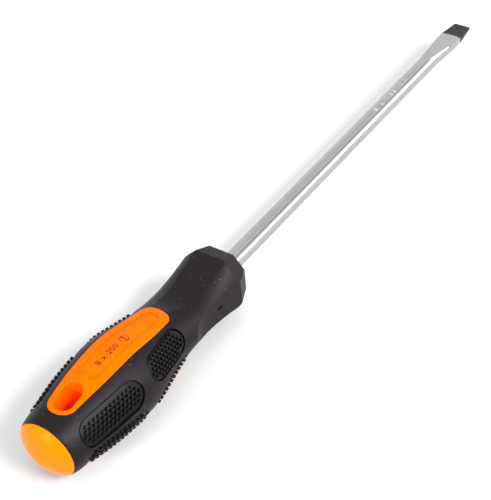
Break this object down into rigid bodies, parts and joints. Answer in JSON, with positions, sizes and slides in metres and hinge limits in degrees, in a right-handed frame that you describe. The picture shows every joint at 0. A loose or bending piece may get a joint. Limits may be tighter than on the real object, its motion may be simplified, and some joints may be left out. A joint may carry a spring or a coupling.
{
  "type": "slotted screwdriver",
  "caption": "Flat-blade screwdriver: round forged shank in a waisted hard-and-soft plastic handle with knobbly grip pads, label windows, domed end cap and a hanging slot.",
  "frame": {"origin": "middle of the blade's working edge", "axes": "+X along the blade out of its tip, +Z out of the upper label window and square to the blade's flat, +Y to the left of the handle seen from behind with the window up"},
  "size_m": [0.3129, 0.0344, 0.0316],
  "materials": {
    "chrome_steel": "bright nickel-chrome plate, black finished tip",
    "hard_orange": "hard moulded plastic, satin gloss",
    "cap_amber": "hard moulded plastic, smooth",
    "soft_grey": "matte soft-touch plastic",
    "soft_black": "soft rubber with raised dots, slight gloss"
  },
  "bodies": {
    "root": {"blade": "chrome_steel", "handle_core": "hard_orange", "end_cap": "cap_amber", "grip_sleeve": "soft_grey", "rear_pad_left_top": "soft_black", "rear_pad_left_bottom": "soft_black", "rear_pad_right_top": "soft_black", "rear_pad_right_bottom": "soft_black", "front_pad_left_top": "soft_black", "front_pad_left_bottom": "soft_black", "front_pad_right_top": "soft_black", "front_pad_right_bottom": "soft_black"}
  },
  "joints": []
}
